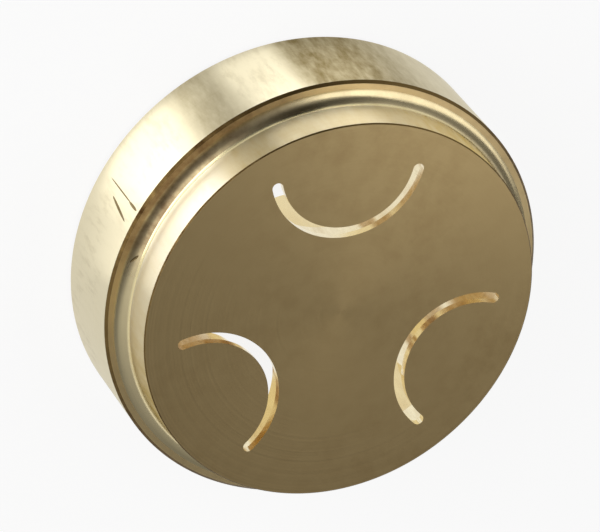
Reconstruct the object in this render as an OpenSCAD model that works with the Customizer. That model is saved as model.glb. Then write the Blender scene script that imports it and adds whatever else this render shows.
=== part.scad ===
// Extrusion die for short curved pasta, turned from one piece of brass.
// The die stands on its back face, slotted face up. Z is the turning axis.

/* [Body] */
// Outside diameter of the flange
flange_d = 57; // [55:0.5:66]
// Height from the back face to the slotted face
die_h = 18.8; // [14:0.1:30]
// Diameter of the nose in front of the shoulder
nose_d = 51.2; // [48.4:0.2:53.6]
// Height of the nose above the shoulder
nose_h = 5.8; // [3:0.1:9]
// Corner radius where the nose meets the shoulder
foot_r = 1.8; // [0.4:0.1:2.4]
// Edge break round the slotted face
nose_break = 0.15; // [0.1:0.05:0.6]
// Edge break on the rims of the flange, the chamber and the hub
rim_break = 0.35; // [0.1:0.05:0.6]

/* [Feed chamber] */
// Diameter of the chamber behind the slotted plate
chamber_d = 45; // [44.8:0.2:47.2]
// Diameter of the hub left standing in the chamber
hub_d = 14; // [8:0.5:15]
// Thickness of the slotted plate
plate_t = 5; // [3:0.1:8]
// Corner radius round the floor of the chamber
floor_r = 1; // [0.4:0.1:1.6]

/* [Slots] */
// Number of slots round the axis
slot_count = 3; // [1:1:4]
// Width of the slot, which is the thickness of the pasta
slot_w = 1.4; // [0.8:0.1:2]
// Radius of the slot's arc, to the middle of the slot
slot_r = 9.4; // [7:0.1:9.8]
// Distance from the die's axis to the middle of the arc
slot_ring_r = 20.5; // [19.6:0.1:20.6]
// Angle that the arc covers, between the centres of its round ends
slot_span = 154; // [90:2:170]
// Depth of the narrow slot, from the slotted face down
land_t = 1; // [0.6:0.1:2]
// Width of the feed groove that opens the slot up behind its land
feed_w = 3.6; // [2.4:0.1:3.8]

/* [Hidden] */
$fn = 96;
brass = [0.72, 0.61, 0.38];
// Reach of a cutting solid past the face it opens
over = 0.5;
flange_rad = flange_d / 2;
nose_rad = nose_d / 2;
chamber_rad = chamber_d / 2;
hub_rad = hub_d / 2;
shoulder_z = die_h - nose_h;
// The foot radius ends at the edge break of the flange at the latest
foot = min(foot_r, flange_rad - rim_break - nose_rad);
floor_z = die_h - plate_t;
// The first slot lies on the +Y side
first_slot = 90;

// Half section of the turned blank: flange, shoulder with its foot radius, and nose
module blank_section() {
    polygon([
        [0, 0],
        [flange_rad - rim_break, 0],
        [flange_rad, rim_break],
        [flange_rad, shoulder_z - rim_break],
        [flange_rad - rim_break, shoulder_z],
        [nose_rad, shoulder_z],
        [nose_rad, die_h - nose_break],
        [nose_rad - nose_break, die_h],
        [0, die_h]
    ]);
    difference() {
        translate([nose_rad - foot, shoulder_z - foot])
            square(2 * foot);
        translate([nose_rad + foot, shoulder_z + foot])
            circle(r = foot);
    }
}

// Half section of the ring-shaped chamber, with its mouth at the back face
module chamber_section() {
    polygon([
        [hub_rad - rim_break - over, -over],
        [hub_rad, rim_break],
        [hub_rad, floor_z - floor_r],
        [hub_rad + floor_r, floor_z],
        [chamber_rad - floor_r, floor_z],
        [chamber_rad, floor_z - floor_r],
        [chamber_rad, rim_break],
        [chamber_rad + rim_break + over, -over]
    ]);
    for (r = [hub_rad + floor_r, chamber_rad - floor_r])
        translate([r, floor_z - floor_r])
            circle(r = floor_r);
}

// Arc of one width with round ends, bulging towards -X, from the XY plane up
module arc_groove(width, height) {
    rotate(180 - slot_span / 2)
        rotate_extrude(angle = slot_span)
            translate([slot_r - width / 2, 0])
                square([width, height]);
    for (side = [-1, 1])
        rotate(180 + side * slot_span / 2)
            translate([slot_r, 0, 0])
                cylinder(d = width, h = height);
}

// One slot: the wide groove from the chamber floor up, then the narrow land
module slot() {
    translate([0, 0, floor_z - over])
        arc_groove(feed_w, plate_t - land_t + over);
    translate([0, 0, die_h - land_t - over])
        arc_groove(slot_w, land_t + 2 * over);
}

// The die: one turned solid with the slots cut through its plate
module die_body() {
    color(brass)
        difference() {
            rotate_extrude()
                difference() {
                    blank_section();
                    chamber_section();
                }
            for (i = [0 : slot_count - 1])
                rotate(first_slot + i * 360 / slot_count)
                    translate([slot_ring_r, 0, 0])
                        slot();
        }
}

die_body();
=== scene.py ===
"""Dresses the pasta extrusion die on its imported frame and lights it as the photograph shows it.

The die is turned from one piece of brass, so one piece stands for the frame's one node. It is modelled again
here because its gloss shows every facet of a coarse mesh, and because it carries wear that the frame leaves
out: scratches on the flange and a nick at the foot of the nose.
"""

from __future__ import annotations

import logging
import math
from collections.abc import Callable, Iterator
from contextlib import contextmanager
from dataclasses import dataclass, field
from enum import Enum

import bmesh
import bpy
from mathutils import Euler, Matrix, Vector

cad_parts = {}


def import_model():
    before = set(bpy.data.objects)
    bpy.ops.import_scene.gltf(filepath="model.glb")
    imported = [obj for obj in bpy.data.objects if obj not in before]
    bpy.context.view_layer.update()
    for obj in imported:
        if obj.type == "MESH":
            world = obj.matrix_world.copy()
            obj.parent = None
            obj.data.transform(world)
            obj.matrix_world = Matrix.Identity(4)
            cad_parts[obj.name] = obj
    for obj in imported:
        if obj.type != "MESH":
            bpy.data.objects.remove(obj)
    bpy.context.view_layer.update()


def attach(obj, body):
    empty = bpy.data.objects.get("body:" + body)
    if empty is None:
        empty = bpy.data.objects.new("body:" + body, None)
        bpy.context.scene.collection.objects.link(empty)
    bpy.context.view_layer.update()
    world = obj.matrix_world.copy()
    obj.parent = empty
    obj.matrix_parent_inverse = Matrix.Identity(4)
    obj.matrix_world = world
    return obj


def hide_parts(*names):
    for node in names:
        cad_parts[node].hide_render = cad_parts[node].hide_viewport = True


LOG = logging.getLogger("pasta_die")
MM = 0.001
# How far a point may lie from the ring or the surface that it belongs to
SLACK = 0.005 * MM
# Points closer together than this become one
MERGE = 0.001 * MM
# The least share of Z in the normal of a face that counts as flat
FLAT = 0.9
# How far the turning marks change the roughness, up and down
GLOSS_SPREAD = 0.05
# Roughness added where the painted shade is full
SHADE_DULLNESS = 0.25
# Watts on a square metre of a lamp that make it show as white
WHITE_WATTS = 4.0
# Width of the camera's sensor in millimetres
SENSOR_WIDTH = 36.0
# Azimuth in degrees and the level there, in order, from -180 to 180
Levels = tuple[tuple[float, float], ...]


def linear(colour: str) -> tuple[float, float, float, float]:
    """Turns an sRGB hex colour into linear light.

    Args:
        colour: A hash and six hex digits.

    Returns:
        Red, green, blue and a full alpha.
    """
    parts = [int(colour[k:k + 2], 16) / 255 for k in (1, 3, 5)]
    red, green, blue = (c / 12.92 if c <= 0.04045 else ((c + 0.055) / 1.055) ** 2.4 for c in parts)
    return red, green, blue, 1.0


def add_node(tree: bpy.types.NodeTree, kind: str, settings: dict[str, object] | None = None,
             inputs: dict[str | int, object] | None = None) -> bpy.types.Node:
    """Adds a node with its settings, and sets or links its inputs.

    Args:
        tree: The node tree to add to.
        kind: The node's type name.
        settings: Attributes of the node by name.
        inputs: Values for its input sockets, or output sockets to link there, by name or number.

    Returns:
        The new node.
    """
    node = tree.nodes.new(kind)
    for name, value in (settings or {}).items():
        setattr(node, name, value)
    for name, value in (inputs or {}).items():
        if isinstance(value, bpy.types.NodeSocket):
            tree.links.new(value, node.inputs[name])
        else:
            node.inputs[name].default_value = value
    return node


def level_ramp(tree: bpy.types.NodeTree, way: bpy.types.NodeSocket, levels: Levels) -> bpy.types.NodeSocket:
    """Adds nodes that give a grey level by the azimuth of a direction or a place.

    Args:
        tree: The node tree to add to.
        way: The direction or the place.
        levels: The level at each azimuth.

    Returns:
        The level as a colour.
    """
    parts = add_node(tree, "ShaderNodeSeparateXYZ", None, {0: way})
    angle = add_node(tree, "ShaderNodeMath", {"operation": "ARCTAN2"},
                     {0: parts.outputs["Y"], 1: parts.outputs["X"]})
    turn = add_node(tree, "ShaderNodeMapRange", None,
                    {"Value": angle.outputs[0], "From Min": -math.pi, "From Max": math.pi})
    ramp = add_node(tree, "ShaderNodeValToRGB", None, {0: turn.outputs[0]})
    stops = ramp.color_ramp.elements
    for number, (azimuth, level) in enumerate(levels):
        place = (azimuth + 180) / 360
        # A new ramp has two stops, which become the first and the last
        stop = stops[0] if number == 0 else stops[-1] if number == len(levels) - 1 else stops.new(place)
        stop.position = place
        stop.color = (level, level, level, 1.0)
    return ramp.outputs["Color"]


def add_lamp(name: str, spot: Vector, turn: Euler, size: tuple[float, float], level: float) -> None:
    """Adds a flat soft lamp that the camera doesn't see.

    Args:
        name: Name of the lamp.
        spot: Its place.
        turn: Its rotation, where an unturned lamp shines down.
        size: Its width and height in metres.
        level: Brightness of its surface, where 1 is white.
    """
    bpy.ops.object.light_add(type="AREA", location=spot, rotation=turn)
    lamp = bpy.context.active_object
    lamp.name = name
    lamp.visible_camera = False
    lamp.data.shape = "RECTANGLE"
    lamp.data.size, lamp.data.size_y = size
    # A lamp's watts spread over its area
    lamp.data.energy = WHITE_WATTS * level * size[0] * size[1]


def from_axis(point: Vector) -> float:
    """Gives a point's distance from the turning axis."""
    return math.hypot(point.x, point.y)


def around(azimuth: float, radius: float, height: float) -> Vector:
    """Gives the point at an azimuth in degrees, a distance from the turning axis and a height."""
    turn = math.radians(azimuth)
    return Vector((radius * math.cos(turn), radius * math.sin(turn), height))


def select_only(piece: bpy.types.Object) -> None:
    """Deselects everything, then selects one piece and makes it active.

    Args:
        piece: The piece to work on.
    """
    bpy.ops.object.select_all(action="DESELECT")
    piece.select_set(True)
    bpy.context.view_layer.objects.active = piece


@contextmanager
def editing(piece: bpy.types.Object, mode: str = "FACE") -> Iterator[None]:
    """Opens one piece in edit mode with nothing selected, and closes it at the end.

    Args:
        piece: The piece to edit.
        mode: The select mode: VERT, EDGE or FACE.
    """
    select_only(piece)
    bpy.ops.object.mode_set(mode="EDIT")
    bpy.ops.mesh.select_mode(type=mode)
    bpy.ops.mesh.select_all(action="DESELECT")
    yield
    bpy.ops.object.mode_set(mode="OBJECT")


def pick_faces(piece: bpy.types.Object, wanted: Callable[[Vector, Vector], bool]) -> None:
    """Selects the faces of the piece in edit mode by place and normal.

    Args:
        piece: The piece in edit mode.
        wanted: Says of a face's middle and normal whether it is selected.
    """
    mesh = bmesh.from_edit_mesh(piece.data)
    for face in mesh.faces:
        face.select_set(wanted(face.calc_center_bounds(), face.normal))
    mesh.select_flush_mode()
    bmesh.update_edit_mesh(piece.data)


def pick_ring(piece: bpy.types.Object, radius: float, height: float) -> None:
    """Selects the ring of edges at one radius and height.

    Args:
        piece: The piece in edit mode.
        radius: The ring's distance from the turning axis.
        height: The ring's height.
    """
    mesh = bmesh.from_edit_mesh(piece.data)
    for edge in mesh.edges:
        edge.select_set(all(abs(from_axis(v.co) - radius) < SLACK and abs(v.co.z - height) < SLACK
                            for v in edge.verts))
    mesh.select_flush_mode()
    bmesh.update_edit_mesh(piece.data)


def join(pieces: list[bpy.types.Object]) -> bpy.types.Object:
    """Joins several pieces into the first of them.

    Args:
        pieces: The pieces, of which only the first is left.

    Returns:
        The joined piece.
    """
    select_only(pieces[0])
    for piece in pieces[1:]:
        piece.select_set(True)
    bpy.ops.object.join()
    return pieces[0]


def cut(piece: bpy.types.Object, cutter: bpy.types.Object) -> None:
    """Takes cutting solids away from a piece and deletes them.

    Args:
        piece: The piece that is cut.
        cutter: The closed solids to take away, which may overlap each other.
    """
    select_only(piece)
    modifier = piece.modifiers.new("cut", "BOOLEAN")
    modifier.operation = "DIFFERENCE"
    modifier.solver = "EXACT"
    modifier.use_self = True
    modifier.object = cutter
    bpy.ops.object.modifier_apply(modifier=modifier.name)
    mesh = cutter.data
    bpy.data.objects.remove(cutter)
    bpy.data.meshes.remove(mesh)


class Region(Enum):
    """The surfaces of the die that have a finish of their own, with their material slot."""

    FACE = 0
    WALL = 1
    RIM = 2
    EDGE = 3
    SHOULDER = 4
    CORNER = 5
    BURNISH = 6
    BORE = 7
    SLOT = 8
    SCAR = 9


@dataclass(frozen=True)
class TurnedBrass:
    """Free-cutting brass as a lathe tool leaves it.

    The tool leaves fine rings round the axis, so a light is drawn out across them into a streak, and the metal
    is yellow to brown with a few soft stains where it has been handled, and with painted shade by azimuth
    where that is given.

    Attributes:
        name: Name of the material.
        bare: Colour of the clean metal.
        stain_and_shade: Colour of the stains, and of the painted shade.
        roughness: Roughness between the two directions of the turning marks.
        streak: How much further a highlight spreads across the marks than along them.
        pitch: Spacing of the marks as drawn, in millimetres.
        height: Height of the marks, in millimetres.
        stain_size: Size of the stains, in millimetres.
        stain_share: The most that a stain covers the clean colour.
        painted_shade: Share of painted shade in the stain_and_shade colour by azimuth, which also makes the
            metal rougher there, or nothing.
    """

    name: str
    bare: str
    stain_and_shade: str
    roughness: float
    streak: float
    pitch: float
    height: float
    stain_size: float
    stain_share: float
    painted_shade: Levels = ()

    def material(self) -> bpy.types.Material:
        """Makes the material from nodes on object coordinates.

        Returns:
            The new material.
        """
        material = bpy.data.materials.new(self.name)
        material.use_nodes = True
        tree = material.node_tree
        tree.nodes.clear()
        place = add_node(tree, "ShaderNodeTexCoord").outputs["Object"]
        # Distance from the axis plus height runs across the marks on a flat face and on a turned wall alike
        flat = add_node(tree, "ShaderNodeVectorMath", {"operation": "MULTIPLY"}, {0: place, 1: (1, 1, 0)})
        radius = add_node(tree, "ShaderNodeVectorMath", {"operation": "LENGTH"}, {0: flat.outputs[0]})
        height = add_node(tree, "ShaderNodeSeparateXYZ", None, {0: place})
        across = add_node(tree, "ShaderNodeMath", {"operation": "ADD"},
                          {0: radius.outputs["Value"], 1: height.outputs["Z"]})
        # Real marks are about 0.1 mm apart, under a pixel here, so they are drawn coarser to show
        marks = add_node(tree, "ShaderNodeTexNoise", {"noise_dimensions": "1D"},
                         {"W": across.outputs[0], "Scale": 1 / (self.pitch * MM),
                          "Detail": 3, "Roughness": 0.65})
        # Stains are drawn out along the axis, as a wiping hand leaves them
        wiped = add_node(tree, "ShaderNodeVectorMath", {"operation": "MULTIPLY"}, {0: place, 1: (1, 1, 0.3)})
        stains = add_node(tree, "ShaderNodeTexNoise", None,
                          {"Vector": wiped.outputs[0], "Scale": 1 / (self.stain_size * MM),
                           "Detail": 5, "Roughness": 0.65})
        # They gather in patches eight times their size
        patches = add_node(tree, "ShaderNodeTexNoise", None,
                           {"Vector": place, "Scale": 1 / (8 * self.stain_size * MM), "Detail": 1})
        heavy = add_node(tree, "ShaderNodeMapRange", None,
                         {"Value": patches.outputs["Fac"], "From Min": 0.35, "From Max": 0.65,
                          "To Min": 0.25})
        speckle = add_node(tree, "ShaderNodeMapRange", None,
                           {"Value": stains.outputs["Fac"], "From Min": 0.4, "From Max": 0.7,
                            "To Max": self.stain_share})
        cover = add_node(tree, "ShaderNodeMath", {"operation": "MULTIPLY"},
                         {0: speckle.outputs[0], 1: heavy.outputs[0]})
        if self.painted_shade:
            # Painted shade: a darker share by azimuth, mottled by the stain noise, standing in for the dim
            # surroundings that each side mirrors
            shade_share = level_ramp(tree, place, self.painted_shade)
            shade_mottle = add_node(tree, "ShaderNodeMapRange", None,
                              {"Value": stains.outputs["Fac"], "From Min": 0.3, "From Max": 0.7,
                               "To Min": 0.55})
            shade_share = add_node(tree, "ShaderNodeMath", {"operation": "MULTIPLY"},
                            {0: shade_share, 1: shade_mottle.outputs[0]})
            cover = add_node(tree, "ShaderNodeMath", {"operation": "MAXIMUM"},
                             {0: cover.outputs[0], 1: shade_share.outputs[0]})
        colour = add_node(tree, "ShaderNodeMix", {"data_type": "RGBA"},
                          {0: cover.outputs[0], 6: linear(self.bare), 7: linear(self.stain_and_shade)})
        gloss = add_node(tree, "ShaderNodeMapRange", None,
                         {"Value": marks.outputs["Fac"], "From Min": 0.25, "From Max": 0.75,
                          "To Min": self.roughness - GLOSS_SPREAD, "To Max": self.roughness + GLOSS_SPREAD})
        if self.painted_shade:
            # Where the painted shade lies, the metal is also made rougher, so it blurs what it mirrors
            gloss = add_node(tree, "ShaderNodeMath", {"operation": "MULTIPLY_ADD"},
                             {0: shade_share.outputs[0], 1: SHADE_DULLNESS, 2: gloss.outputs[0]})
        bump = add_node(tree, "ShaderNodeBump", None,
                        {"Height": marks.outputs["Fac"], "Strength": 1.0, "Distance": self.height * MM})
        tangent = add_node(tree, "ShaderNodeTangent", {"direction_type": "RADIAL", "axis": "Z"})
        shader = add_node(tree, "ShaderNodeBsdfPrincipled", None,
                          {"Base Color": colour.outputs[2], "Metallic": 1.0, "Roughness": gloss.outputs[0],
                           "Anisotropic": self.streak, "Anisotropic Rotation": 0.25,
                           "Tangent": tangent.outputs[0], "Normal": bump.outputs[0]})
        add_node(tree, "ShaderNodeOutputMaterial", None, {"Surface": shader.outputs[0]})
        return material


FINISHES: dict[Region, TurnedBrass] = {
    # The face and the back are faced flat: satin, with a few random stains, in a darker brown than the walls
    # that is painted shade
    Region.FACE: TurnedBrass(
        "faced_brass_satin", "#C4AB7A", "#98794A", roughness=0.42, streak=0.18, pitch=0.30,
        height=0.0010, stain_size=3.0, stain_share=0.30),
    # The nose's wall takes a finishing cut: streaked along the axis, pale as a painted highlight where it
    # mirrors the bright lamps on the left, golden elsewhere from painted shade by azimuth
    Region.WALL: TurnedBrass(
        "turned_brass_bright", "#F4EBD0", "#DABC68", roughness=0.36, streak=0.95, pitch=0.35,
        height=0.0010, stain_size=1.3, stain_share=0.20,
        painted_shade=((-180, 0.5), (-171, 0.7), (-159, 1.0), (50, 1.0), (60, 0.9), (72, 0.65), (84, 0.5),
                (106, 0.5), (116, 0.7), (124, 0.6), (130, 0.0), (153, 0.0), (165, 0.2), (180, 0.5))),
    # The flange's wall has the same cut, with dark bands of painted shade by azimuth where it mirrors dim
    # parts of the room
    Region.RIM: TurnedBrass(
        "turned_brass_painted_shade", "#E8DEBE", "#7E6824", roughness=0.33, streak=0.85, pitch=0.35,
        height=0.0010, stain_size=0.9, stain_share=0.30,
        painted_shade=((-180, 0.1), (30, 0.1), (60, 0.3), (78, 0.9), (94, 0.85), (99, 0.05), (111, 0.05), (117, 0.5),
                (123, 0.5), (129, 0.05), (180, 0.1))),
    # The edge breaks stay as a file left them: dull, and given a dark colour as painted shade, darkest on the
    # left, so they show as thin dark lines
    Region.EDGE: TurnedBrass(
        "filed_brass_edge", "#9C8250", "#3E2A14", roughness=0.30, streak=0.30, pitch=0.35,
        height=0.0005, stain_size=2.0, stain_share=0.1,
        painted_shade=((-180, 0.5), (-150, 0.8), (30, 0.8), (60, 0.4), (100, 0.4), (112, 1.0), (158, 1.0),
                (172, 0.6), (180, 0.5))),
    # The shoulder gets painted shade by azimuth: warm at the top and brown on the left side
    Region.SHOULDER: TurnedBrass(
        "faced_brass_painted_shade", "#F6DCA4", "#5E3A20", roughness=0.32, streak=0.30, pitch=0.35,
        height=0.0005, stain_size=4.0, stain_share=0.3,
        painted_shade=((-180, 0.0), (15, 0.1), (32, 0.45), (72, 0.4), (92, 0.25), (112, 0.85), (152, 1.0),
                (162, 0.6), (172, 0.15), (180, 0.0))),
    # The corner above it is burnished by the tool's nose, so it mirrors sharp bands, under the same painted
    # shade by azimuth
    Region.CORNER: TurnedBrass(
        "burnished_brass_painted_shade", "#EEDEB0", "#4E3018", roughness=0.17, streak=0.30, pitch=0.35,
        height=0.0005, stain_size=4.0, stain_share=0.3,
        painted_shade=((-180, 0.05), (15, 0.3), (30, 0.45), (80, 0.35), (92, 0.3), (112, 0.85), (152, 1.0),
                (162, 0.6), (172, 0.15), (180, 0.05))),
    # Higher up, the foot is burnished and clean: a thin bright line
    Region.BURNISH: TurnedBrass(
        "burnished_brass", "#E4D6A8", "#B89F66", roughness=0.22, streak=0.30, pitch=0.35,
        height=0.0005, stain_size=2.0, stain_share=0.3),
    # The chamber stays as the boring bar left it: warm, even and glossy
    Region.BORE: TurnedBrass(
        "bored_brass", "#EFDDAC", "#B58C4C", roughness=0.20, streak=0.40, pitch=0.50,
        height=0.0020, stain_size=3.0, stain_share=0.4),
    # The slots are cut bright, with random stains, and brown bands of painted shade at given azimuths
    Region.SLOT: TurnedBrass(
        "milled_brass_stained_and_shaded", "#FAEFCC", "#A87818", roughness=0.14, streak=0.40, pitch=0.50,
        height=0.0020, stain_size=1.8, stain_share=0.5,
        painted_shade=((-180, 0.3), (-177, 1.0), (-171, 1.0), (-168, 0.0), (-136, 0.0), (-132, 0.9), (-124.5, 1.0),
                (-122, 0.0), (-38, 0.0), (-35, 0.9), (-32, 0.9), (-30, 0.0), (-21, 0.0), (-19, 0.85),
                (-13, 0.85), (-12, 0.1), (-10.5, 0.1), (-9.5, 0.9), (-5, 0.9), (-3.5, 0.0), (63.4, 0.1),
                (65, 0.9), (70, 0.9), (73, 0.0), (180, 0.1))),
    # Scratches and the nick are coloured dull and dark, so they stay dark in the brightest light
    Region.SCAR: TurnedBrass(
        "scratched_brass_dark", "#7A6A48", "#5A4A2E", roughness=0.50, streak=0.00, pitch=0.35,
        height=0.0005, stain_size=0.5, stain_share=0.5),
}


@dataclass
class ArcSlot:
    """One slot of the die: a narrow arc with round ends, opening into a wider feed groove behind its land.

    Attributes:
        width: Width of the narrow slot.
        feed_width: Width of the feed groove.
        arc_rad: Radius of the arc, to the middle of the slot.
        ring_rad: Distance from the die's axis to the middle of the arc.
        span: Degrees that the arc covers, between the centres of its round ends.
        land: Depth of the narrow slot.
        facets: Facets round an end, and along half the arc.
    """

    width: float = 1.4 * MM
    feed_width: float = 3.6 * MM
    arc_rad: float = 9.4 * MM
    ring_rad: float = 20.5 * MM
    span: float = 154.0
    land: float = 1.0 * MM
    facets: int = 48

    def cutter(self, floor: float, face: float) -> bpy.types.Object:
        """Models the solids that cut the slot on the +X side of the die.

        Args:
            floor: Height of the chamber's floor.
            face: Height of the slotted face.

        Returns:
            The feed groove and the narrow slot as one piece.
        """
        reach = 0.5 * MM
        step = face - self.land
        feed = self.groove(self.feed_width, floor - reach, step)
        return join([feed, self.groove(self.width, step - reach, face + reach)])

    def groove(self, width: float, low: float, high: float) -> bpy.types.Object:
        """Models the solid that cuts one arc of the slot.

        One round end is spun half way along the arc, then mirrored.

        Args:
            width: Width of the arc.
            low: Height of its lower end.
            high: Height of its upper end.

        Returns:
            The cutting solid, in its place.
        """
        half = self.span / 2
        end = around(180 - half, self.arc_rad, (low + high) / 2)
        onward = around(270 - half, 1.0, 0.0)
        bpy.ops.object.select_all(action="DESELECT")
        bpy.ops.mesh.primitive_cylinder_add(vertices=self.facets, radius=width / 2, depth=high - low,
                                            location=end, rotation=(0, 0, math.radians(180 - half)))
        cutter = bpy.context.active_object
        bpy.ops.object.transform_apply(location=True, rotation=True)
        with editing(cutter):
            bpy.ops.mesh.select_all(action="SELECT")
            bpy.ops.mesh.bisect(plane_co=end, plane_no=onward, use_fill=True, clear_outer=True,
                                threshold=MERGE / 2)
            # Only the cut face has its middle on the end's own axis
            pick_faces(cutter, lambda middle, normal: (middle - end).length < 0.1 * width)
            bpy.ops.mesh.spin(steps=self.facets, angle=-math.radians(half), center=(0, 0, 0), axis=(0, 0, 1))
            bpy.ops.mesh.delete(type="FACE")
        mirror = cutter.modifiers.new("other half", "MIRROR")
        mirror.use_axis = (False, True, False)
        mirror.merge_threshold = MERGE
        bpy.ops.object.modifier_apply(modifier=mirror.name)
        with editing(cutter):
            bpy.ops.mesh.select_all(action="SELECT")
            bpy.ops.mesh.remove_doubles(threshold=MERGE)
            bpy.ops.mesh.normals_make_consistent(inside=False)
        cutter.location.x = self.ring_rad
        bpy.ops.object.transform_apply(location=True)
        return cutter


@dataclass(frozen=True)
class Gouge:
    """A mark that something hard has left in the metal: a short groove that tapers out at both ends.

    Attributes:
        start: Azimuth in degrees, distance from the axis and height of one end, in millimetres.
        end: The same of the other end.
        width: Width of the groove at its middle, in millimetres.
        depth: Depth of the groove at its middle, in millimetres.
    """

    start: tuple[float, float, float]
    end: tuple[float, float, float]
    width: float
    depth: float

    def cutter(self) -> bpy.types.Object:
        """Models the solid that cuts the groove.

        Returns:
            A long eight-sided spindle with its middle on the surface.
        """
        first, last = (around(a, r * MM, h * MM) for a, r, h in (self.start, self.end))
        along = (last - first).normalized()
        out = Vector((*(first + last).xy, 0)).normalized()
        side = out.cross(along).normalized()
        out = along.cross(side)
        bpy.ops.object.select_all(action="DESELECT")
        bpy.ops.mesh.primitive_uv_sphere_add(segments=8, ring_count=6, radius=1.0)
        solid = bpy.context.active_object
        turn = Matrix((side, out, along)).transposed().to_4x4()
        sizes = Matrix.Diagonal((self.width / 2 * MM, self.depth * MM, (last - first).length / 2, 1.0))
        solid.matrix_world = Matrix.Translation((first + last) / 2) @ turn @ sizes
        bpy.ops.object.transform_apply(location=True, rotation=True, scale=True)
        return solid


@dataclass
class DieBody:
    """The whole die: a flange with a shoulder, a nose with the slotted face, and the feed chamber behind it.

    Attributes:
        flange_rad: Radius of the flange.
        height: Height from the back face to the slotted face.
        nose_rad: Radius of the nose.
        nose_height: Height of the nose above the shoulder.
        foot_rad: Corner radius where the nose meets the shoulder.
        nose_break: Edge break round the slotted face.
        rim_break: Edge break on the rims of the flange, the chamber and the hub.
        chamber_rad: Radius of the feed chamber.
        hub_rad: Radius of the hub in the chamber.
        plate: Thickness of the slotted plate.
        floor_rad: Corner radius round the chamber's floor.
        corner_height: Height above the shoulder that the corner's finish, with its painted shade, reaches.
        burnish_height: Height above the shoulder where the burnished foot ends.
        facets: Facets round the turning axis.
        foot_facets: Facets across the foot's corner radius.
        floor_facets: Facets across the corner radius of the chamber's floor.
        crease: Degrees between faces from which their edge stays sharp.
        slot: The slot, cut once for each azimuth.
        slot_azimuths: Directions of the slots from the axis, in degrees.
        wear: The scratches on the flange and the nick at the foot of the nose.
    """

    flange_rad: float = 28.5 * MM
    height: float = 18.8 * MM
    nose_rad: float = 25.6 * MM
    nose_height: float = 5.8 * MM
    foot_rad: float = 1.8 * MM
    nose_break: float = 0.15 * MM
    rim_break: float = 0.35 * MM
    chamber_rad: float = 22.5 * MM
    hub_rad: float = 7.0 * MM
    plate: float = 5.0 * MM
    floor_rad: float = 1.0 * MM
    corner_height: float = 0.75 * MM
    burnish_height: float = 1.15 * MM
    facets: int = 384
    foot_facets: int = 20
    floor_facets: int = 8
    crease: float = 15.0
    slot: ArcSlot = field(default_factory=ArcSlot)
    slot_azimuths: tuple[float, ...] = (90.0, 210.0, 330.0)
    wear: tuple[Gouge, ...] = (
        Gouge(start=(152.5, 28.5, 5.6), end=(154.3, 28.5, 11.0), width=0.40, depth=0.10),
        Gouge(start=(149.8, 28.5, 3.0), end=(149.8, 28.5, 11.0), width=0.20, depth=0.03),
        Gouge(start=(149.9, 28.5, 9.6), end=(149.9, 28.5, 12.2), width=0.40, depth=0.10),
        Gouge(start=(162.9, 26.82, 13.10), end=(160.2, 26.21, 13.45), width=0.34, depth=0.17),
    )

    @property
    def shoulder(self) -> float:
        """Height of the shoulder."""
        return self.height - self.nose_height

    @property
    def chamber_floor(self) -> float:
        """Height of the chamber's floor, which is the back of the slotted plate."""
        return self.height - self.plate

    def build(self) -> bpy.types.Object:
        """Models the die from a cylinder: nose, chamber, rounded edges, slots and wear.

        Returns:
            The finished mesh object, in the frame's place.
        """
        bpy.ops.object.select_all(action="DESELECT")
        bpy.ops.mesh.primitive_cylinder_add(vertices=self.facets, radius=self.flange_rad, depth=self.shoulder,
                                            location=(0, 0, self.shoulder / 2))
        piece = bpy.context.active_object
        piece.name = piece.data.name = "turned_die"
        bpy.ops.object.transform_apply(location=True)
        with editing(piece):
            pick_faces(piece, lambda middle, normal: normal.z > FLAT)
            bpy.ops.mesh.inset(thickness=self.flange_rad - self.nose_rad)
            bpy.ops.mesh.extrude_region_move(TRANSFORM_OT_translate={"value": (0, 0, self.nose_height)})
            pick_faces(piece, lambda middle, normal: normal.z < -FLAT)
            bpy.ops.mesh.inset(thickness=self.flange_rad - self.chamber_rad)
            bpy.ops.mesh.inset(thickness=self.chamber_rad - self.hub_rad)
            pick_faces(piece, lambda middle, normal: normal.z < -FLAT
                       and self.hub_rad < from_axis(middle) < self.chamber_rad)
            bpy.ops.mesh.extrude_region_move(TRANSFORM_OT_translate={"value": (0, 0, self.chamber_floor)})
        self.round_edges(piece)
        cut(piece, join(self.slot_cutters() + [gouge.cutter() for gouge in self.wear]))
        select_only(piece)
        bpy.ops.object.shade_smooth_by_angle(angle=math.radians(self.crease))
        # The small faces of a fillet or a scratch must not tilt the shading of the large face beside them
        modifier = piece.modifiers.new("even shading", "WEIGHTED_NORMAL")
        modifier.keep_sharp = True
        bpy.ops.object.modifier_apply(modifier=modifier.name)
        return piece

    def round_edges(self, piece: bpy.types.Object) -> None:
        """Breaks the sharp edges and rounds the inside corners of the turned blank.

        Args:
            piece: The blank with its nose and chamber.
        """
        rings = (
            (self.flange_rad, 0.0, self.rim_break, 1),
            (self.flange_rad, self.shoulder, self.rim_break, 1),
            (self.nose_rad, self.shoulder, self.foot_rad, self.foot_facets),
            (self.nose_rad, self.height, self.nose_break, 1),
            (self.chamber_rad, 0.0, self.rim_break, 1),
            (self.hub_rad, 0.0, self.rim_break, 1),
            (self.chamber_rad, self.chamber_floor, self.floor_rad, self.floor_facets),
            (self.hub_rad, self.chamber_floor, self.floor_rad, self.floor_facets),
        )
        with editing(piece, "EDGE"):
            for radius, height, size, segments in rings:
                pick_ring(piece, radius, height)
                bpy.ops.mesh.bevel(offset=size, segments=segments, profile=0.5)

    def slot_cutters(self) -> list[bpy.types.Object]:
        """Models one slot's cutting solids and copies them round the axis.

        Returns:
            The cutting solids of all slots.
        """
        first = self.slot.cutter(self.chamber_floor, self.height)
        cutters = []
        for azimuth in self.slot_azimuths:
            select_only(first)
            bpy.ops.object.duplicate()
            copy = bpy.context.active_object
            copy.rotation_euler.z = math.radians(azimuth)
            bpy.ops.object.transform_apply(rotation=True)
            cutters.append(copy)
        bpy.data.objects.remove(first)
        return cutters

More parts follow.
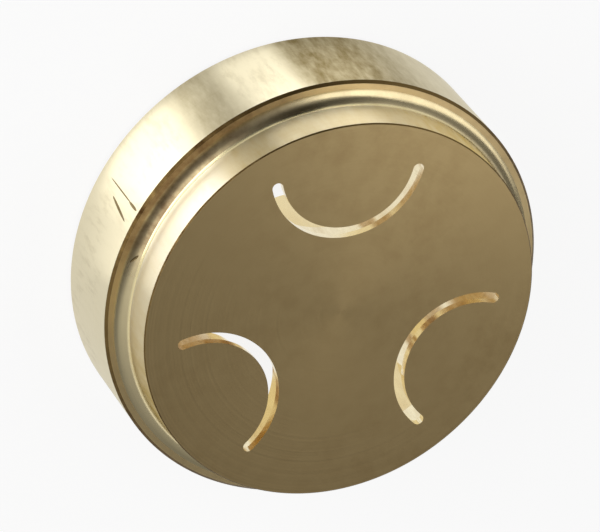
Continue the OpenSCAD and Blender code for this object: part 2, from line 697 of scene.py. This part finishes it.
    def is_scar(self, middle: Vector) -> bool:
        """Says whether a face lies below the turned surface, in a mark of wear.

        Args:
            middle: The middle of the face.

        Returns:
            True on the flange's wall and on the foot of the nose, where the face lies too deep.
        """
        reach = from_axis(middle)
        if self.rim_break < middle.z < self.shoulder - self.rim_break:
            return self.chamber_rad + self.rim_break < reach < self.flange_rad - SLACK
        if self.nose_rad < reach < self.nose_rad + self.foot_rad and middle.z < self.shoulder + self.foot_rad:
            from_centre = math.hypot(self.nose_rad + self.foot_rad - reach,
                                     self.shoulder + self.foot_rad - middle.z)
            return from_centre > self.foot_rad + SLACK
        return False

    def region(self, middle: Vector) -> Region:
        """Says which finish a face of the die has.

        Args:
            middle: The middle of the face.

        Returns:
            The region that the face lies in.
        """
        reach = from_axis(middle)
        slack = 2 * SLACK
        if self.is_scar(middle):
            return Region.SCAR
        if middle.z < slack or middle.z > self.height - slack:
            return Region.FACE
        if reach < self.nose_rad - self.nose_break:
            return Region.SLOT if middle.z > self.chamber_floor + slack else Region.BORE
        if self.rim_break < middle.z < self.shoulder - self.rim_break:
            return Region.RIM
        above = middle.z - self.shoulder
        if above < -slack or middle.z > self.height - self.nose_break:
            return Region.EDGE
        if above < slack and reach > self.nose_rad + self.foot_rad:
            return Region.SHOULDER
        if above < self.corner_height:
            return Region.CORNER
        return Region.BURNISH if above < self.burnish_height else Region.WALL

    def dress(self, piece: bpy.types.Object, finishes: dict[Region, TurnedBrass]) -> None:
        """Gives each region of the die its finish, and puts the die in the frame.

        Args:
            piece: The finished mesh object.
            finishes: The finish of each region.
        """
        piece.data.materials.clear()
        for region in Region:
            piece.data.materials.append(finishes[region].material())
        for face in piece.data.polygons:
            face.material_index = self.region(face.center).value
        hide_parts("die_body")
        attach(piece, "root")


@dataclass(frozen=True)
class Softbox:
    """One flat soft lamp of the studio, aimed at the die.

    Attributes:
        name: Name of the lamp.
        azimuth: Direction from the die in degrees.
        elevation: Height above the floor in degrees.
        distance: Distance from the die in metres.
        size: Width and height in metres.
        level: Brightness of its surface, where 1 is white.
    """

    name: str
    azimuth: float
    elevation: float
    distance: float
    size: tuple[float, float]
    level: float

    def place(self, aim: Vector) -> None:
        """Adds the lamp.

        Args:
            aim: The point that it faces.
        """
        low = math.radians(self.elevation)
        spot = aim + around(self.azimuth, self.distance * math.cos(low), self.distance * math.sin(low))
        add_lamp(self.name, spot, (aim - spot).to_track_quat("-Z", "Y").to_euler(), self.size, self.level)


@dataclass(frozen=True)
class FloorPanel:
    """A bright panel that lies on the floor beside the die and shines up, so that the die's walls mirror it.

    Attributes:
        name: Name of the panel.
        azimuth: Direction from the die in degrees.
        near: Distance of its near edge from the die's axis in millimetres.
        size: Width and depth in millimetres.
        level: Brightness of its surface, where 1 is white.
        lift: Height above the floor in millimetres. Panels at different heights shine through each other and
            add up.
    """

    name: str
    azimuth: float
    near: float
    size: tuple[float, float]
    level: float
    lift: float = 0.1

    def place(self) -> None:
        """Adds the panel."""
        width, depth = (side * MM for side in self.size)
        spot = around(self.azimuth, self.near * MM + depth / 2, self.lift * MM)
        turn = Euler((math.pi, 0, math.radians(self.azimuth + 90)))
        add_lamp(self.name, spot, turn, (width, depth), self.level)


@dataclass(frozen=True)
class RoomBand:
    """How bright the room is all round at one height.

    Attributes:
        elevation: Height above the horizon in degrees.
        levels: Brightness by azimuth, where 1 is white.
    """

    elevation: float
    levels: Levels


@dataclass
class Studio:
    """The floor, the surrounding, the lamps and the camera.

    Attributes:
        floor_size: Side of the floor in metres.
        floor_drop: How far the floor lies below the die's back face.
        floor_colour: Colour of the floor.
        floor_glow: Share of the floor's own light where the camera or a mirroring surface sees it.
        room: Brightness of the room, from the horizon up.
        focal_px: Focal length in pixels of the photograph.
        image_width: Width of the photograph in pixels.
        camera_place: Place of the camera.
        camera_aim: The point in the middle of the picture.
        camera_roll: Roll of the camera in degrees.
        lamps: The soft lamps.
        panels: The bright panels on the floor.
        card_azimuth: Direction of the black card from the die in degrees.
        card_distance: Distance of the card from the die's axis.
        card_size: Width and height of the card.
        card_lift: Height of the card's lower edge.
        card_colour: Colour of the card.
    """

    floor_size: float = 8.0
    floor_drop: float = 0.02 * MM
    floor_colour: str = "#FFFFFF"
    floor_glow: float = 0.88
    room: tuple[RoomBand, ...] = (
        RoomBand(8.0, ((-180, 0.8), (-150, 0.46), (-120, 0.33), (-60, 0.3), (-15, 0.2), (15, 0.3), (45, 0.55),
                       (60, 0.18), (75, 0.07), (108, 0.07), (118, 0.3), (128, 0.95), (165, 1.0), (180, 0.8))),
        RoomBand(44.0, ((-180, 0.9), (-165, 0.63), (-135, 0.45), (-105, 0.3), (-60, 0.16), (-20, 0.1),
                        (0, 0.15), (30, 0.2), (50, 0.06), (115, 0.05), (128, 0.8), (150, 1.0), (180, 0.9))),
        RoomBand(54.0, ((-180, 0.45), (-160, 0.4), (-120, 0.42), (-90, 0.3), (-54, 0.24), (-20, 0.2),
                        (40, 0.3), (60, 0.35), (90, 0.3), (112, 0.08), (130, 0.3), (150, 0.45), (180, 0.45))),
        RoomBand(74.0, ((-180, 0.22), (-120, 0.12), (-60, 0.07), (0, 0.25), (60, 0.3), (120, 0.18),
                        (150, 0.25), (180, 0.22))),
    )
    focal_px: float = 4986.33
    image_width: int = 600
    camera_place: Vector = field(default_factory=lambda: Vector((-213.927, 294.44, 508.015)) * MM)
    camera_aim: Vector = field(default_factory=lambda: Vector((-1.753, 1.776, 9.4)) * MM)
    camera_roll: float = 141.229
    lamps: tuple[Softbox, ...] = (
        Softbox("left_bank", azimuth=152.0, elevation=22.0, distance=0.35, size=(0.34, 0.28), level=1.6),
        Softbox("overhead", azimuth=10.0, elevation=57.0, distance=0.18, size=(0.145, 0.11), level=1.25),
    )
    panels: tuple[FloorPanel, ...] = (
        FloorPanel("left_panel", azimuth=139.0, near=29.5, size=(26.0, 30.0), level=0.25),
        FloorPanel("left_core", azimuth=139.0, near=29.5, size=(20.0, 30.0), level=0.3, lift=0.15),
        FloorPanel("left_heart", azimuth=139.0, near=29.5, size=(14.0, 30.0), level=0.25, lift=0.2),
        FloorPanel("nose_left_panel", azimuth=147.0, near=37.5, size=(20.0, 10.0), level=1.2, lift=0.25),
        FloorPanel("low_left_panel", azimuth=170.0, near=38.0, size=(14.0, 10.0), level=1.0),
        FloorPanel("rear_panel", azimuth=102.0, near=29.5, size=(13.0, 6.5), level=0.2),
        FloorPanel("rear_core", azimuth=102.5, near=29.5, size=(9.0, 6.5), level=0.2, lift=0.15),
        FloorPanel("nose_panel", azimuth=84.0, near=38.0, size=(33.0, 32.0), level=1.5),
    )
    card_azimuth: float = 93.0
    card_distance: float = 47.0 * MM
    card_size: tuple[float, float] = (12.0 * MM, 36.0 * MM)
    card_lift: float = 11.0 * MM
    card_colour: str = "#282420"

    def build(self) -> None:
        """Sets up the whole studio."""
        self.lay_floor()
        self.surround()
        for lamp in self.lamps:
            lamp.place(self.camera_aim)
        for panel in self.panels:
            panel.place()
        self.hang_card()
        self.set_camera()
        bpy.context.scene.view_settings.view_transform = "Standard"

    def lay_floor(self) -> None:
        """Lays the white floor, which shows white by itself and still takes the die's shadow."""
        bpy.ops.object.select_all(action="DESELECT")
        bpy.ops.mesh.primitive_plane_add(size=self.floor_size, location=(0, 0, -self.floor_drop))
        floor = bpy.context.active_object
        floor.name = "floor"
        bpy.ops.object.transform_apply(location=True)
        material = bpy.data.materials.new("white_paper_floor")
        material.use_nodes = True
        tree = material.node_tree
        tree.nodes.clear()
        path = add_node(tree, "ShaderNodeLightPath")
        seen = add_node(tree, "ShaderNodeMath", {"operation": "MAXIMUM"},
                        {0: path.outputs["Is Camera Ray"], 1: path.outputs["Is Transmission Ray"]})
        seen = add_node(tree, "ShaderNodeMath", {"operation": "MAXIMUM"},
                        {0: seen.outputs[0], 1: path.outputs["Is Glossy Ray"]})
        share = add_node(tree, "ShaderNodeMath", {"operation": "MULTIPLY"},
                         {0: seen.outputs[0], 1: self.floor_glow})
        paper = add_node(tree, "ShaderNodeBsdfDiffuse", None, {"Color": linear(self.floor_colour)})
        glow = add_node(tree, "ShaderNodeEmission", None,
                        {"Color": linear(self.floor_colour), "Strength": 1.0})
        mixed = add_node(tree, "ShaderNodeMixShader", None,
                         {0: share.outputs[0], 1: paper.outputs[0], 2: glow.outputs[0]})
        # From below the floor is clear, so that a view from there shows the die's back
        behind = add_node(tree, "ShaderNodeNewGeometry")
        clear = add_node(tree, "ShaderNodeBsdfTransparent")
        both = add_node(tree, "ShaderNodeMixShader", None,
                        {0: behind.outputs["Backfacing"], 1: mixed.outputs[0], 2: clear.outputs[0]})
        add_node(tree, "ShaderNodeOutputMaterial", None, {"Surface": both.outputs[0]})
        floor.data.materials.append(material)

    def hang_card(self) -> None:
        """Hangs a black card behind the die, out of the camera's sight, for the foot of the nose to mirror."""
        width, height = self.card_size
        spot = around(self.card_azimuth, self.card_distance, self.card_lift + height / 2)
        bpy.ops.object.select_all(action="DESELECT")
        bpy.ops.mesh.primitive_plane_add(size=1.0, location=spot,
                                         rotation=(math.pi / 2, 0, math.radians(self.card_azimuth + 90)))
        card = bpy.context.active_object
        card.name = "black_card"
        card.scale = (width, height, 1.0)
        bpy.ops.object.transform_apply(location=True, rotation=True, scale=True)
        card.visible_camera = False
        material = bpy.data.materials.new("black_card")
        material.use_nodes = True
        tree = material.node_tree
        tree.nodes.clear()
        felt = add_node(tree, "ShaderNodeBsdfDiffuse", None, {"Color": linear(self.card_colour)})
        add_node(tree, "ShaderNodeOutputMaterial", None, {"Surface": felt.outputs[0]})
        card.data.materials.append(material)

    def surround(self) -> None:
        """Makes the room: lit from the left and dim behind, with levels that blend from height to height."""
        world = bpy.data.worlds.new("studio_room")
        bpy.context.scene.world = world
        world.use_nodes = True
        tree = world.node_tree
        tree.nodes.clear()
        way = add_node(tree, "ShaderNodeTexCoord").outputs["Generated"]
        rise = add_node(tree, "ShaderNodeSeparateXYZ", None, {0: way})
        colour = level_ramp(tree, way, self.room[0].levels)
        for lower, upper in zip(self.room, self.room[1:]):
            share = add_node(tree, "ShaderNodeMapRange", None,
                             {"Value": rise.outputs["Z"], "From Min": math.sin(math.radians(lower.elevation)),
                              "From Max": math.sin(math.radians(upper.elevation))})
            mix = add_node(tree, "ShaderNodeMix", {"data_type": "RGBA"},
                           {0: share.outputs[0], 6: colour, 7: level_ramp(tree, way, upper.levels)})
            colour = mix.outputs[2]
        light = add_node(tree, "ShaderNodeBackground", None, {"Color": colour, "Strength": 1.0})
        add_node(tree, "ShaderNodeOutputWorld", None, {"Surface": light.outputs[0]})

    def set_camera(self) -> None:
        """Sets the long-lens camera that the photograph was fitted to, rolled as the picture is."""
        ahead = (self.camera_aim - self.camera_place).normalized()
        level_right = ahead.cross(Vector((0, 0, 1))).normalized()
        turned = Matrix((level_right, level_right.cross(ahead), -ahead)).transposed().to_4x4()
        bpy.ops.object.camera_add()
        camera = bpy.context.active_object
        camera.name = "camera"
        camera.data.sensor_width = SENSOR_WIDTH
        camera.data.lens = SENSOR_WIDTH * self.focal_px / self.image_width
        roll = Matrix.Rotation(math.radians(self.camera_roll), 4, "Z")
        camera.matrix_world = Matrix.Translation(self.camera_place) @ turned @ roll
        bpy.context.scene.camera = camera


def main() -> None:
    """Loads the frame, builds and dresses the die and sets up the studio."""
    logging.basicConfig(level=logging.INFO, format="%(name)s: %(message)s")
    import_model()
    body = DieBody()
    piece = body.build()
    body.dress(piece, FINISHES)
    LOG.info("%s: %d faces, on root, for die_body", piece.name, len(piece.data.polygons))
    Studio().build()
    LOG.info("studio: floor, room, lamps and camera")


if __name__ == "__main__":
    main()
